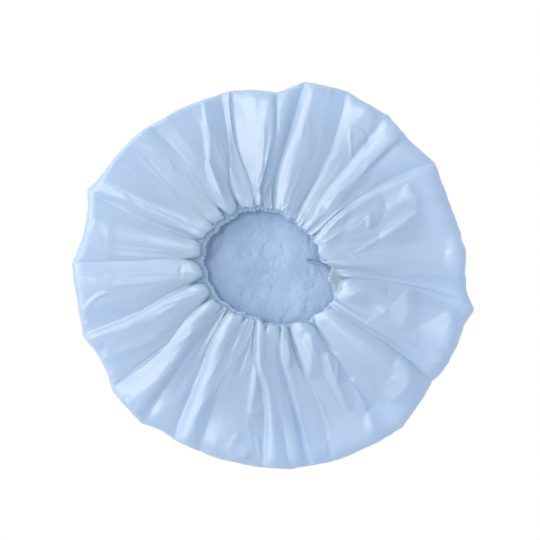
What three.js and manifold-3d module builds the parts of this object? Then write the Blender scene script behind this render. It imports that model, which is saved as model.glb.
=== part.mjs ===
// A disposable shampoo cap lying on its crown with the opening up, in millimetres, +Z up.
// One disc of thin film turns over at a rounded rim and is gathered by a narrow elastic round
// a small opening. An absorbent nonwoven pad lies inside, on the crown.
//
// The gathers are described in a polar frame round the middle of the opening: azimuth in degrees,
// counter-clockwise from +X, and "run", which is 0 at the hem and 1 at the rim.
import * as THREE from "three";
import { mergeVertices } from "three/addons/utils/BufferGeometryUtils.js";
import Module from "manifold-3d";

// ---------------------------------------------------------------- driving dimensions
const WALL = 1.0; // film wall as modelled
const STEEP_WALL = 2.6; // most that the wall measures vertically where a fold's side is steep
const CLEARANCE = 0.3; // between the pad and the film
const HEM_CLEARANCE = 0.6; // between the elastic and the hem, measured towards the middle

const RIM_HALF_HEIGHT = 7.6; // the rounded rim stands twice this high
const RIM_TOP_REACH = 19; // how far in from the edge the rim's upper curve starts
const RIM_UNDER_REACH = 9; // the same for the curve down to the flat crown
const HEM_HEIGHT = 15.5; // the gathered hem above the crown
const HEM_RUFFLE = 1.0; // how deep the creases still are at the hem itself
const LOBE_END = 9; // length over which a puffed fold rolls down to the hem
const FOLD_ROUNDNESS = 2.6; // 2 makes a fold's section a circular arch, more makes it fuller
const PUFF_REACH = 0.72; // run at which the folds have sunk to the height of the rim

const BAND_WIDTH = 3.2; // elastic
const BAND_THICKNESS = 0.9;
const BAND_LEAN = 52; // mean angle that its broad side makes with the crown
const BAND_LEAN_SWING = 24; // it leans this much flatter on one side and steeper on the other
const STEEPEST_AT = -15; // azimuth where it stands steepest
const TAIL_AZIMUTH = 357; // where the elastic's ends are joined, one of them left loose
const TAIL_TURN = -20; // the loose end points this far off the straight line to the middle
const TAIL_WIDTH = 2.4;
const TAIL_LENGTH = 18.5;
const TAIL_RISE = 0.35; // it lies this far proud of the loop that it is joined to
const TAIL_DROP = 4.5; // and hangs down by this much at its tip

const PAD_SHARE = 0.8; // the pad's edge as a share of the cap's outline
const PAD_THICKNESS = 2.2;
const PAD_SWELL = 1.2; // how much the pad swells under the opening
const PAD_SWELL_RADIUS = 52;

// ---------------------------------------------------------------- the gathers
const table = (columns, rows) =>
  rows.map((row) => Object.fromEntries(columns.map((name, i) => [name, row[i]])));

// One row for each crease, going round. Azimuths of the crease at the hem, at runs of 0.2 and 0.5,
// and at the rim; radius of the hem and of the rim there; bow of the rim out past the straight
// line to the next crease; the run at which the crease has faded; its depth; and how far the fold
// between it and the next crease puffs up over the rim.
const FOLDS = table(
  ["hem", "near", "mid", "rim", "hemRadius", "rimRadius", "bow", "reach", "depth", "puff"],
  [
    [6, 7, 9.5, 10, 38.0, 141.1, 0.0, 0.85, 4.0, 10.5],
    [35, 38.3, 36.7, 32.5, 37.1, 142.2, -0.5, 0.75, 11.5, 9.5],
    [42.5, 42, 45, 44, 36.4, 138.0, -0.4, 0.36, 4.5, 10.5],
    [51, 53.8, 52.5, 52, 36.0, 140.4, -0.5, 0.9, 9.5, 8.5],
    [62.5, 61.8, 63, 68, 36.7, 139.7, 0.0, 0.65, 8.5, 11.5],
    [86, 85, 81, 78, 39.6, 137.3, -0.3, 0.95, 10.5, 7.5],
    [96.5, 93.5, 87.5, 87.5, 40.7, 127.1, 1.2, 0.95, 10.0, 9.5],
    [102.5, 102, 104.5, 102, 41.8, 130.8, 0.0, 0.85, 9.5, 7.5],
    [117, 115, 108.5, 105, 43.6, 131.0, 1.9, 0.65, 12.5, 10.5],
    [130, 130.7, 128, 130, 43.6, 133.6, 0.0, 0.5, 12.5, 9.5],
    [143, 141, 140, 137, 45.4, 135.7, 0.0, 0.36, 5.0, 9.5],
    [159, 159, 159, 157, 47.5, 142.9, -3.7, 0.9, 12.0, 10.5],
    [174, 175, 177.5, 179, 46.4, 143.3, 0.0, 0.75, 12.0, 10.0],
    [191, 194, 198.7, 200, 43.9, 144.0, -2.7, 0.8, 12.5, 11.0],
    [207, 211, 217.7, 217.7, 42.5, 144.2, 0.5, 0.75, 12.5, 10.5],
    [220, 225.5, 228, 231, 40.3, 146.3, -1.3, 0.6, 6.0, 7.0],
    [226, 230.5, 236.5, 241, 39.2, 142.9, 0.0, 0.9, 12.0, 12.0],
    [244, 246, 248, 249, 37.4, 142.6, 0.0, 0.6, 9.0, 8.5],
    [256, 258, 260.8, 257.5, 36.7, 143.7, 0.6, 0.75, 10.5, 10.5],
    [267, 268, 272, 274, 39.6, 147.6, 0.0, 0.4, 4.5, 7.5],
    [279, 276, 280.2, 281.5, 41.8, 147.6, 0.0, 0.95, 8.5, 10.5],
    [288, 287.3, 289.7, 288, 42.8, 148.3, 1.5, 0.65, 12.0, 11.0],
    [308.5, 307.5, 306, 309.5, 47.5, 151.2, 1.2, 0.55, 12.0, 11.5],
    [327.5, 326.5, 326.5, 325, 50.8, 143.8, 1.5, 0.95, 7.0, 7.5],
    [334, 332.5, 332, 333, 52.5, 146.9, -0.9, 0.26, 6.0, 11.5],
    [350, 353, 352.5, 348.5, 43.4, 151.9, 0.0, 0.9, 8.0, 7.5],
    [359, 358, 356, 354, 45.0, 144.0, 0.3, 0.3, 5.0, 10.0],
  ],
);
const CREASE_RUNS = [0, 0.2, 0.5, 1]; // where hem, near, mid and rim azimuths are given
const ACROSS_FOLD = [0, 0.12, 0.36, 0.64, 0.88]; // sections across a fold, from its crease
const TOP_SHARES = [0, 0.01, 0.035, 0.07, 0.11, 0.17, 0.26, 0.38, 0.52, 0.68, 0.84, 1];
const RIM_TURNS = [60, 30, 0, -45, -90]; // degrees round the rim, from its top down
const CROWN_SHARE = 0.5; // radius of one more ring on the crown, as a share of the outline's

const radians = THREE.MathUtils.degToRad;
const degrees = THREE.MathUtils.radToDeg;
const mix = THREE.MathUtils.lerp;
const clamp = THREE.MathUtils.clamp;
const smooth = (x) => THREE.MathUtils.smoothstep(x, 0, 1);
const UP = new THREE.Vector3(0, 0, 1);

const polar = (radius, azimuth, z) =>
  new THREE.Vector3(radius * Math.cos(radians(azimuth)), radius * Math.sin(radians(azimuth)), z);

// A smooth curve through values given at rising knots.
function through(knots, values, x) {
  const last = knots.length - 1;
  const slope = (i) => {
    const a = Math.max(i - 1, 0);
    const b = Math.min(i + 1, last);
    return (values[b] - values[a]) / (knots[b] - knots[a]);
  };
  const above = knots.findIndex((knot) => knot > x);
  const i = above < 0 ? last - 1 : Math.max(above - 1, 0);
  const span = knots[i + 1] - knots[i];
  const t = (x - knots[i]) / span;
  const t2 = t * t;
  const t3 = t2 * t;
  return (
    (2 * t3 - 3 * t2 + 1) * values[i] +
    (t3 - 2 * t2 + t) * span * slope(i) +
    (3 * t2 - 2 * t3) * values[i + 1] +
    (t3 - t2) * span * slope(i + 1)
  );
}

// The crease after fold k, with its azimuths past 360 where it closes the ring.
function nextFold(k) {
  if (k + 1 < FOLDS.length) return FOLDS[k + 1];
  const { hem, near, mid, rim, ...rest } = FOLDS[0];
  return { hem: hem + 360, near: near + 360, mid: mid + 360, rim: rim + 360, ...rest };
}

const creaseAzimuth = (fold, run) =>
  through(CREASE_RUNS, [fold.hem, fold.near, fold.mid, fold.rim], run);

const foldAzimuth = (k, across, run) =>
  mix(creaseAzimuth(FOLDS[k], run), creaseAzimuth(nextFold(k), run), across);

// Radius of the outline part way across fold k: the straight line between two corners, bowed.
function rimRadius(k, across) {
  const a = FOLDS[k];
  const b = nextFold(k);
  const span = radians(b.rim - a.rim);
  const turned = span * across;
  const chord =
    (a.rimRadius * b.rimRadius * Math.sin(span)) /
    (a.rimRadius * Math.sin(turned) + b.rimRadius * Math.sin(span - turned));
  return chord + a.bow * 4 * across * (1 - across);
}

const hemRadius = (k, across) =>
  mix(FOLDS[k].hemRadius, nextFold(k).hemRadius, smooth(across));

// How deep a crease still is at a run.
const creaseDepth = (fold, run) => fold.depth * (1 - smooth(run / fold.reach));

// Height of the film's upper side at a run, part way across fold k.
function topHeight(k, across, run, fromHem) {
  const a = FOLDS[k];
  const b = nextFold(k);
  const before = FOLDS[(k + FOLDS.length - 1) % FOLDS.length];
  const offCentre = Math.abs(2 * across - 1);
  const arch = Math.sqrt(1 - offCentre ** FOLD_ROUNDNESS);
  const depth = mix(creaseDepth(a, run), creaseDepth(b, run), across);
  // At a crease the two folds beside it meet at their mean height.
  const shared = ((across < 0.5 ? before.puff : b.puff) + a.puff) / 2;
  const puff = mix(shared, a.puff, smooth(1 - offCentre));
  const full = 2 * RIM_HALF_HEIGHT + puff * (1 - smooth(run / PUFF_REACH));
  const roll = Math.sqrt(1 - (1 - clamp(fromHem / LOBE_END, 0, 1)) ** 2);
  const crest = mix(HEM_HEIGHT, full, roll);
  return crest - mix(HEM_RUFFLE, depth, roll) * (1 - arch);
}

// ---------------------------------------------------------------- the elastic's lean
const bandLean = (azimuth) =>
  radians(BAND_LEAN + BAND_LEAN_SWING * Math.cos(radians(azimuth - STEEPEST_AT)));

// How far out from the hem's line the elastic and its clearance reach.
const bandReach = (azimuth) =>
  BAND_WIDTH * Math.cos(bandLean(azimuth)) +
  (BAND_THICKNESS / 2) * Math.sin(bandLean(azimuth)) +
  HEM_CLEARANCE;

// ---------------------------------------------------------------- the film
const COLUMNS = FOLDS.flatMap((_, k) => ACROSS_FOLD.map((across) => ({ k, across })));

// Rows of the film's outer side, from the hem out, round the rim and in under the crown.
function outerRows() {
  const top = TOP_SHARES.map((share) =>
    COLUMNS.map(({ k, across }) => {
      const hem = hemRadius(k, across) + bandReach(foldAzimuth(k, across, 0));
      const rim = rimRadius(k, across);
      const fromHem = share * (rim - RIM_TOP_REACH - hem);
      const run = fromHem / (rim - hem);
      return polar(hem + fromHem, foldAzimuth(k, across, run), topHeight(k, across, run, fromHem));
    }),
  );
  const rim = RIM_TURNS.map((turn) =>
    COLUMNS.map(({ k, across }) => {
      const reach = turn > 0 ? RIM_TOP_REACH : RIM_UNDER_REACH;
      const radius = rimRadius(k, across) - reach * (1 - Math.cos(radians(turn)));
      const z = RIM_HALF_HEIGHT * (1 + Math.sin(radians(turn)));
      return polar(radius, foldAzimuth(k, across, radius / rimRadius(k, across)), z);
    }),
  );
  const crown = COLUMNS.map(({ k, across }) =>
    polar(CROWN_SHARE * rimRadius(k, across), foldAzimuth(k, across, 1), 0),
  );
  return [...top, ...rim, crown];
}

// The rows of the wall's other side: below the upper film, and inwards round the rim.
function innerRows(rows) {
  const outward = (i, j) => {
    const row = rows[i];
    const along = rows[i + 1][j].clone().sub(rows[Math.max(i - 1, 0)][j]);
    const round = row[(j + 1) % row.length].clone().sub(row.at(j - 1));
    return along.cross(round).normalize();
  };
  const firstOfCrown = rows.length - 2;
  return rows.map((row, i) =>
    row.map((point, j) => {
      if (i >= firstOfCrown) return point.clone().setZ(WALL);
      const out = outward(i, j);
      if (i >= TOP_SHARES.length) return point.clone().addScaledVector(out, -WALL);
      return point.clone().setZ(point.z - Math.min(WALL / out.z, STEEP_WALL));
    }),
  );
}

// A closed geometry over rings of points that starts and ends in a middle point. From ring
// "mirrored" on, its quads are split along their other diagonal.
function closedGeometry(first, rings, last, mirrored = rings.length) {
  const points = [first, ...rings.flat(), last];
  const n = rings[0].length;
  const at = (i, j) => 1 + i * n + (j % n);
  const index = [];
  for (let j = 0; j < n; j++) {
    index.push(0, at(0, j + 1), at(0, j));
    for (let i = 0; i + 1 < rings.length; i++) {
      const [a, b, c, d] = [at(i, j), at(i, j + 1), at(i + 1, j), at(i + 1, j + 1)];
      if (i < mirrored) index.push(a, b, d, a, d, c);
      else index.push(a, b, c, b, d, c);
    }
    index.push(at(rings.length - 1, j), at(rings.length - 1, j + 1), points.length - 1);
  }
  const geometry = new THREE.BufferGeometry().setFromPoints(points).setIndex(index);
  geometry.computeVertexNormals();
  return geometry;
}

function filmGeometry() {
  const outer = outerRows();
  const inner = innerRows(outer);
  const rings = [...outer.toReversed(), ...inner];
  const under = new THREE.Vector3(0, 0, 0);
  // Both sides of the wall are split alike, so that they stay apart in the creases.
  return closedGeometry(under, rings, under.clone().setZ(WALL), outer.length);
}

// ---------------------------------------------------------------- the elastic
// A strip with a rectangular section: each station is a point on its line, the direction of its
// width and the direction of its thickness.
function stripGeometry(stations, width, closed) {
  const corners = [
    [-1, -1],
    [1, -1],
    [1, 1],
    [-1, 1],
  ];
  const points = stations.flatMap(({ at, wide, thick }) =>
    corners.map(([w, t]) =>
      at
        .clone()
        .addScaledVector(wide, (w * width) / 2)
        .addScaledVector(thick, (t * BAND_THICKNESS) / 2),
    ),
  );
  const index = [];
  const n = stations.length;
  for (let i = 0; i < (closed ? n : n - 1); i++) {
    const [here, there] = [i * 4, ((i + 1) % n) * 4];
    for (let c = 0; c < 4; c++) {
      const next = (c + 1) % 4;
      index.push(here + c, there + next, here + next, here + c, there + c, there + next);
    }
  }
  if (!closed) {
    const end = (n - 1) * 4;
    index.push(0, 1, 2, 0, 2, 3);
    index.push(end, end + 2, end + 1, end, end + 3, end + 2);
  }
  return new THREE.BufferGeometry().setFromPoints(points).setIndex(index);
}

// One station of the elastic's loop. Its broad side leans up and out from the opening.
function bandStation(k, across) {
  const azimuth = foldAzimuth(k, across, 0);
  const lean = bandLean(azimuth);
  const out = polar(1, azimuth, 0);
  const radius = hemRadius(k, across) + (BAND_WIDTH / 2) * Math.cos(lean);
  return {
    azimuth,
    at: polar(radius, azimuth, HEM_HEIGHT - WALL),
    wide: out.clone().multiplyScalar(Math.cos(lean)).addScaledVector(UP, Math.sin(lean)),
    thick: UP.clone().multiplyScalar(Math.cos(lean)).addScaledVector(out, -Math.sin(lean)),
  };
}

const bandStations = () =>
  FOLDS.flatMap((_, k) => [0, 0.25, 0.5, 0.75].map((across) => bandStation(k, across)));

// The loose end past the joint, hanging in over the opening.
function tailStations() {
  const gap = ({ azimuth }) => Math.abs(((azimuth - TAIL_AZIMUTH + 540) % 360) - 180);
  const joint = bandStations().reduce((best, each) => (gap(each) < gap(best) ? each : best));
  const inward = polar(-1, TAIL_AZIMUTH + TAIL_TURN, 0);
  const side = new THREE.Vector3().crossVectors(inward, UP);
  const root = joint.at.clone().addScaledVector(joint.thick, TAIL_RISE);
  return [0, 0.3, 0.65, 1].map((share) => {
    const quarter = (share * Math.PI) / 2;
    const along = inward
      .clone()
      .multiplyScalar(TAIL_LENGTH)
      .addScaledVector(UP, -TAIL_DROP * (Math.PI / 2) * Math.cos(quarter));
    return {
      at: root
        .clone()
        .addScaledVector(inward, share * TAIL_LENGTH)
        .addScaledVector(UP, -TAIL_DROP * Math.sin(quarter)),
      wide: side,
      thick: new THREE.Vector3().crossVectors(side, along).normalize(),
    };
  });
}

const wasm = await Module();
wasm.setup();

function solidOf(geometry) {
  const merged = mergeVertices(geometry, 1e-4);
  return new wasm.Manifold(
    new wasm.Mesh({
      numProp: 3,
      vertProperties: merged.getAttribute("position").array,
      triVerts: new Uint32Array(merged.index.array),
    }),
  );
}

function geometryOf(solid) {
  const { numProp, vertProperties, triVerts } = solid.getMesh();
  const points = [];
  for (let i = 0; i < vertProperties.length; i += numProp)
    points.push(new THREE.Vector3(...vertProperties.subarray(i, i + 3)));
  const geometry = new THREE.BufferGeometry().setFromPoints(points);
  return geometry.setIndex(new THREE.BufferAttribute(triVerts, 1));
}

function bandGeometry() {
  const loop = solidOf(stripGeometry(bandStations(), BAND_WIDTH, true));
  const tail = solidOf(stripGeometry(tailStations(), TAIL_WIDTH, false));
  return geometryOf(loop.add(tail));
}

// ---------------------------------------------------------------- the pad
// A soft disc that follows the outline, swelling a little under the opening.
function padGeometry() {
  const low = WALL + CLEARANCE;
  const high = low + PAD_THICKNESS;
  const places = FOLDS.flatMap((_, k) => [0, 0.5].map((across) => ({ k, across })));
  const ring = (share, height) =>
    places.map(({ k, across }) => {
      const radius = share * PAD_SHARE * rimRadius(k, across);
      return polar(radius, foldAzimuth(k, across, 1), height(radius));
    });
  const swollen = (radius) => high + PAD_SWELL * (1 - smooth(radius / PAD_SWELL_RADIUS));
  const rings = [
    ring(0.98, () => low),
    ring(1, () => (low + high) / 2),
    ring(0.98, () => high),
    ring(0.45, swollen),
    ring(0.3, swollen),
    ring(0.15, swollen),
  ];
  return closedGeometry(new THREE.Vector3(0, 0, low), rings, new THREE.Vector3(0, 0, swollen(0)));
}

// ---------------------------------------------------------------- materials and assembly
const film = new THREE.MeshStandardMaterial({ color: 0xdce8f8, roughness: 0.32, metalness: 0 });
const elastic = new THREE.MeshStandardMaterial({ color: 0xe6eef8, roughness: 0.7, metalness: 0 });
const nonwoven = new THREE.MeshStandardMaterial({ color: 0xc4d4ee, roughness: 0.95, metalness: 0 });

function named(name, geometry, material) {
  const mesh = new THREE.Mesh(geometry, material);
  mesh.name = name;
  return mesh;
}

const cap = new THREE.Group();
cap.add(
  named("film_cap", filmGeometry(), film),
  named("elastic_band", bandGeometry(), elastic),
  named("absorbent_pad", padGeometry(), nonwoven),
);

// The part's origin is the middle of its footprint, on the surface that it lies on.
const middle = new THREE.Box3().setFromObject(cap).getCenter(new THREE.Vector3());
for (const piece of cap.children) piece.geometry.translate(-middle.x, -middle.y, 0);

export default cap;
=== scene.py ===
"""A disposable shampoo cap lying on its crown with the opening up.

The film is one thin sheet: a flat crown, a rim that turns over, and a gathered upper side whose
folds run out from the elastic. A nonwoven pad lies inside. Sizes in the tables are millimetres
and degrees, in a polar frame round the middle of the opening (azimuth counter-clockwise from +X);
Blender's own units are metres. A run is a place between the hem, 0, and the rim's edge, 1.
"""

import math

import bpy
import numpy as np
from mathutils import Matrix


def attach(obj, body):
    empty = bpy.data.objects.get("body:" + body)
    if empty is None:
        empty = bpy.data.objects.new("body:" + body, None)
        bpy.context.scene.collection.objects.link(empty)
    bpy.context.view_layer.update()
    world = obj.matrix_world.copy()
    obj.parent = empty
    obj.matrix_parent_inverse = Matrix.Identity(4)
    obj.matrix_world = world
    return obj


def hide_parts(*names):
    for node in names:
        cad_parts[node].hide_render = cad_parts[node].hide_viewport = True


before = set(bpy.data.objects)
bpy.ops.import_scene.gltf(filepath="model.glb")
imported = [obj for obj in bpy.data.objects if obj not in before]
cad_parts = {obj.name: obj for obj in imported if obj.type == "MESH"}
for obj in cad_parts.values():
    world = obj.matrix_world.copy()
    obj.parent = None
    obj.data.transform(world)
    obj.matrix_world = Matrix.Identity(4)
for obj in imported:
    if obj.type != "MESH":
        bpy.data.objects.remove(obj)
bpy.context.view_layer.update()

MM = 0.001

# ---- the film's sizes (mm)
RIM_HALF_HEIGHT = 7.6
RIM_POWER = 2.5  # how square the rim's upper side is: 2 for an ellipse
RIM_UNDER_REACH = 9.0  # how far in from the edge the rim ends below
RIM_PINCH = 0.3  # how much lower the rim is at a crease, as a share of its half height
PINCH_FROM = 0.45  # the run where that begins
PINCH_OVER = 0.4  # and the further run over which it grows
RIM_WRINKLE = 0.8  # height of the small wrinkles above and below the rim's edge
RIM_WRINKLE_POWER = 0.8  # how sharp they are: the less, the sharper
RIM_WRINKLE_PEAK = 1.6  # height of the waves at a full wrinkle
HEM_HEIGHT = 15.2
LOBE_END = 6.5  # how far out the folds' rounded ends reach
NOTCH_POWER = 3  # how square the notches between those ends are
OVERHANG = 1.7  # about how far the ends bulge back over the elastic
OVERHANG_SWING = 0.8  # more where the elastic stands steepest, and less opposite
OVERHANG_REACH = 1.3  # how far out from the hem the bulge is fullest
OVERHANG_BREADTH = 2.2  # how much of the end bulges: more for a broader part
OVERHANG_START = 3  # how suddenly the bulge starts at the hem
PUFF_RUNS = (0.0, 0.15, 0.5, 0.86)
PUFF_SHARES = (0.7, 0.7, 0.55, 0.4)  # how much of a fold's puff shows at these runs
TIGHT_PUFF_SHARE = 0.52  # the last of these where the rim turns over tightly
TIGHT_REACH, WIDE_REACH = 7.0, 13.0  # reaches that count as a tight and as a wide turn
STEP_RUNS = (0.1, 0.45, 0.9)  # where the depths of the creases are given

RUFFLE_PLEATS = 84  # pleats of the film's free edge, inside the elastic
RUFFLE_SWING = 1.35
RUFFLE_WIDTH = 2.0
RUFFLE_INSET = 1.4  # how far in from the elastic's middle the free edge lies
RUFFLE_DROP = 2.1  # how far below the elastic's middle the ruffle lies

CRUMPLES = ((24.0, 1.2, 11), (12.0, 0.5, 12), (5.5, 0.2, 13))  # scale, height, seed
CRUMPLE_POWER = 0.9  # how sharp they are: the less, the sharper
CRUMPLE_WARP = (21.0, 5, 6.0)  # scale, seed and height of what bends them
CRUMPLE_RADIUS = 75.0
CRUMPLE_ROUND = 1.5  # how much they change with the direction, as places at that radius
CRUMPLE_OUT = 0.35  # and how much with the place itself: little, so they are drawn out
CRUMPLE_FADE = 12.0  # they grow to their full height over this far from the hem
CRINKLE = 0.6  # height of the fine pleats just outside the elastic
CRINKLE_REACH = 4.5

# Painted shade at the bottom of the deep creases and in the notches between the folds' ends.
SHADE_WIDTH = 1.2  # half width of the shade at the bottom of a deep crease
SHADE_DEPTH = 4.5  # depth of a crease that is shaded in full
SHADE_STRENGTH = 0.7
SHADE_FROM = 0.05  # the run where the shade begins to fade
SHADE_RUN = 0.45  # and the further run over which it does
NOTCH_START = 1.5  # the notches' shade sets in over this far from the hem
NOTCH_GAP = 8.0  # depth of a notch that is shaded in full
PAINTED_LIGHT_REACH = 13.0  # how far out from the hem the film is painted lighter: painted light on the gathered ends

# ---- the elastic's sizes (mm)
BAND_WIDTH = 4.3
BAND_THICKNESS = 0.8
BAND_DROP = 1.2  # how far its middle lies below the hem
BAND_LEAN = 52.0  # mean angle of its broad side above the level
BAND_LEAN_SWING = 24.0  # steeper than that on one side and flatter on the other
STEEPEST_AT = -15.0  # azimuth where it stands steepest
BAND_CRINKLE = 0.3  # height of its puckers
BAND_CRINKLE_MEAN = 0.7  # share of them that is there all round
BAND_BULGE = 0.8  # how far a pucker moves the edges, as a share of its height
BAND_PHASE = 1.5  # how far the puckers are askew between its middle and its edges
# The loose end of the elastic, along a curve through three points (x, y, z).
TAIL_PATH = ((45.6, -0.6, 12.6), (36.0, 3.4, 11.4), (27.4, 4.9, 8.4))
TAIL_WIDTH = 2.7
TAIL_THICKNESS = 0.9
TAIL_LEAN, TAIL_TWIST = 5.0, 20.0  # its lean where it starts, and how much more at its tip
TAIL_WAVER, TAIL_WAVER_TURN = 0.12, 14  # how much its width wavers, through so many radians

# ---- the pad's sizes (mm)
PAD_LOW = 1.5  # height of its underside
PAD_SHARE = 0.8  # its edge as a share of the cap's outline
PAD_THICKNESS = 2.2
PAD_SWELL = 3.4  # how far it swells under the opening
PAD_SWELL_FROM, PAD_SWELL_TO = 28.0, 66.0  # radii between which that fades
PAD_LEDGE_DROP = 1.5  # how much lower the pad lies beyond its ledge
PAD_LEDGE_WIDTH = 3.0
PAD_LEDGE_FROM, PAD_LEDGE_FADE = 2, 6  # the y where the ledge starts, and how gradually
PAD_ROLL_SLANT = 0.15  # how much the soft rolls lean away from the y axis
PAD_RELIEF_TO, PAD_RELIEF_FADE = 50, 10  # radius where the relief fades, and how gradually
PAD_STRETCH = 0.8  # how close together the creases and tufts are along y
PAD_CREASE_HEIGHT, PAD_CREASE_POWER = 0.7, 0.6
PAD_TUFT_HEIGHT = 0.18

# The pad's noises: scale, seed, and height where it isn't 1.
PAD_WARP = (14.0, 31, 3.0)
PAD_CREASES = (8.0, 32)
PAD_TUFTS = (2.6, 33)
PAD_FUZZ = (1.3, 34, 0.7)  # on the tufts
PAD_HUMPS = (17.0, 35, 0.6)

# ---- how fine the meshes are
COLUMN_COUNT = 860
FEWEST_COLUMNS = 10  # of any fold
CROWDING = 0.45  # how much closer together the columns are at the creases
TOP_ROWS = 90
TOP_CROWDING = 1.3  # above 1, the rows are closer together near the hem
RIM_TURNS = np.array([78, 66, 54, 42, 30, 18, 6, -8, -24, -44, -66, -90], float)  # 0 at the edge
CROWN_SHARES = np.array([0.86, 0.66, 0.4, 0.14])  # of the outline's radius
HEM_ACROSS = np.array([-1.0, -0.75, -0.5, -0.25, 0.0])  # across the ruffle, from the free edge
HEM_TURN = ((0.55, -1.2), (0.66, -0.2), (0.55, 0.75))  # shares across the elastic, and heights
STILL_ROWS = 3  # rows next to the hem that the small folds leave alone
RELIEF_RIM_ROWS = 8  # how many of the rim's rows the small folds reach
CURVE_POINTS = 13  # of a small fold's curve
BAND_COLUMNS, TAIL_COLUMNS, PAD_COLUMNS = 1080, 24, 330
PAD_UNDER_SHARES = np.array([[0.02], [0.5], [1.0]])  # of the pad's radius
PAD_OUTER_RINGS, PAD_FINE_RINGS = 6, 144
PAD_FINE_FROM, PAD_FINE_TO = 62.0, 0.6  # radius of the first fine ring and of the last

# ---- looks
FILM_COLOUR = (0.617, 0.745, 0.91, 1)
# painted light: the film's colour near the elastic, lighter than its own
PAINTED_LIGHT_COLOUR = (0.69, 0.83, 0.965, 1)
# painted shade in the notches and at the bottom of the deep creases
NOTCH_SHADE_COLOUR = (0.40, 0.53, 0.57, 1)
FILM_TRANSLUCENCE = 0.4
ELASTIC_COLOUR = (0.41, 0.53, 0.68, 1)
# painted shade on the elastic's loose end
LOOSE_END_SHADE_COLOUR = (0.15, 0.22, 0.37, 1)
PAD_DARK = (0.27, 0.39, 0.61, 1)
PAD_LIGHT = (0.46, 0.56, 0.72, 1)
PAD_THIN = (0.36, 0.45, 0.6, 1)
SKY_COLOUR = (0.79, 0.895, 1, 1)
SKY_STRENGTH = 0.5
WARM_LIGHT = (1, 0.978, 0.935)
COOL_LIGHT = (0.82, 0.92, 1)

# Distant lights: name, azimuth, elevation, breadth, strength and colour.
LIGHTS = (
    ("key", 125, 27, 30, 0.75, WARM_LIGHT),
    ("key", 158, 27, 30, 0.85, WARM_LIGHT),
    ("key", 192, 27, 30, 0.65, WARM_LIGHT),
    ("high", 158, 65, 22, 0.85, WARM_LIGHT),
    ("fill", 335, 40, 90, 0.58, COOL_LIGHT),
)

FOCAL_LENGTH, SENSOR_WIDTH = 85, 36
VIEW_X, VIEW_Y, VIEW_LEVEL = -0.0021, 0.0043, 0.0076  # what the camera looks at, in metres
VIEW_WIDTH = 0.3902  # how much of that level the picture takes in
FLOOR_HALF, FLOOR_LEVEL = 3.0, -0.0002


def table(columns, rows):
    """A table of numbers as one array per named column."""
    return {name: np.array([row[i] for row in rows], float) for i, name in enumerate(columns)}


# The pad's ledge: the pad is lower where x is less than this.
PAD_LEDGE = table(("y", "x"), ((0, -44), (8, -40), (19, -33.5), (32, -30.6), (44, -26.3)))

# Soft rolls of the pad, running up and down: height at each x.
PAD_ROLLS = table(("x", "height"), ((-60, 0), (-24, 0.8), (-9, -0.3), (8, -0.2), (20, 1.1), (48, 0.1)))

# How far in from the edge the rim begins to turn over.
RIM_TOP_REACH = table(
    ("azimuth", "reach"),
    (
        (0, 13), (60, 13), (100, 8), (120, 4), (145, 4), (160, 8), (185, 8.5), (215, 11),
        (260, 13), (360, 13),
    ),
)

# How much higher or lower the film is at the rim than it would be with the folds alone.
RIM_LIFT = table(
    ("azimuth", "lift"),
    (
        (0, 0), (106, 0), (116, 2), (124, 6.5), (135, 6.5), (145, 5), (152, -2), (158, -1),
        (163, 0.5), (172, 0), (275, 0), (292, -2.5), (306, -2), (318, 4.5), (325, 3), (336, 1),
        (350, -1), (360, 0),
    ),
)

# Waves round the ring, one row each: height, number round the ring and start; height, number and
# start of the slower wave that shifts it; and how much it follows the phase given with the angle.
WAVES = ("height", "count", "start", "shift", "shift_count", "shift_start", "follow")
BAND_WANDER = table(WAVES, ((0.45, 19, 0.5, 0, 0, 0, 0), (0.35, 31, 0, 2, 3, 0, 0)))
BAND_SAG = table(WAVES, ((0.35, 7, 1, 0, 0, 0, 0), (0.3, 11, 0, 0, 0, 0, 0)))
BAND_PUCKERS = table(WAVES, ((1, 83, 0, 3, 4, 0, 1), (0.8, 137, 0, 2, 7, 0, 2)))
BAND_PUCKER_SWELL = table(WAVES, ((0.3, 5, 0, 0, 0, 0, 1),))
RUFFLE = table(WAVES, ((1, RUFFLE_PLEATS, 0, 1, 3, 0, 0),))
CRINKLES = table(WAVES, ((1, 61, 0, 3, 5, 0, 0), (0.7, 97, 0, 2, 3, 1, 0)))
RIM_WRINKLES = table(
    WAVES, ((1, 23, 0, 2, 4, 0, 1), (0.8, 41, 0, 3, 3, 0, -1.5), (0.5, 67, 0, 2, 5, 0, 2.5))
)

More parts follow.
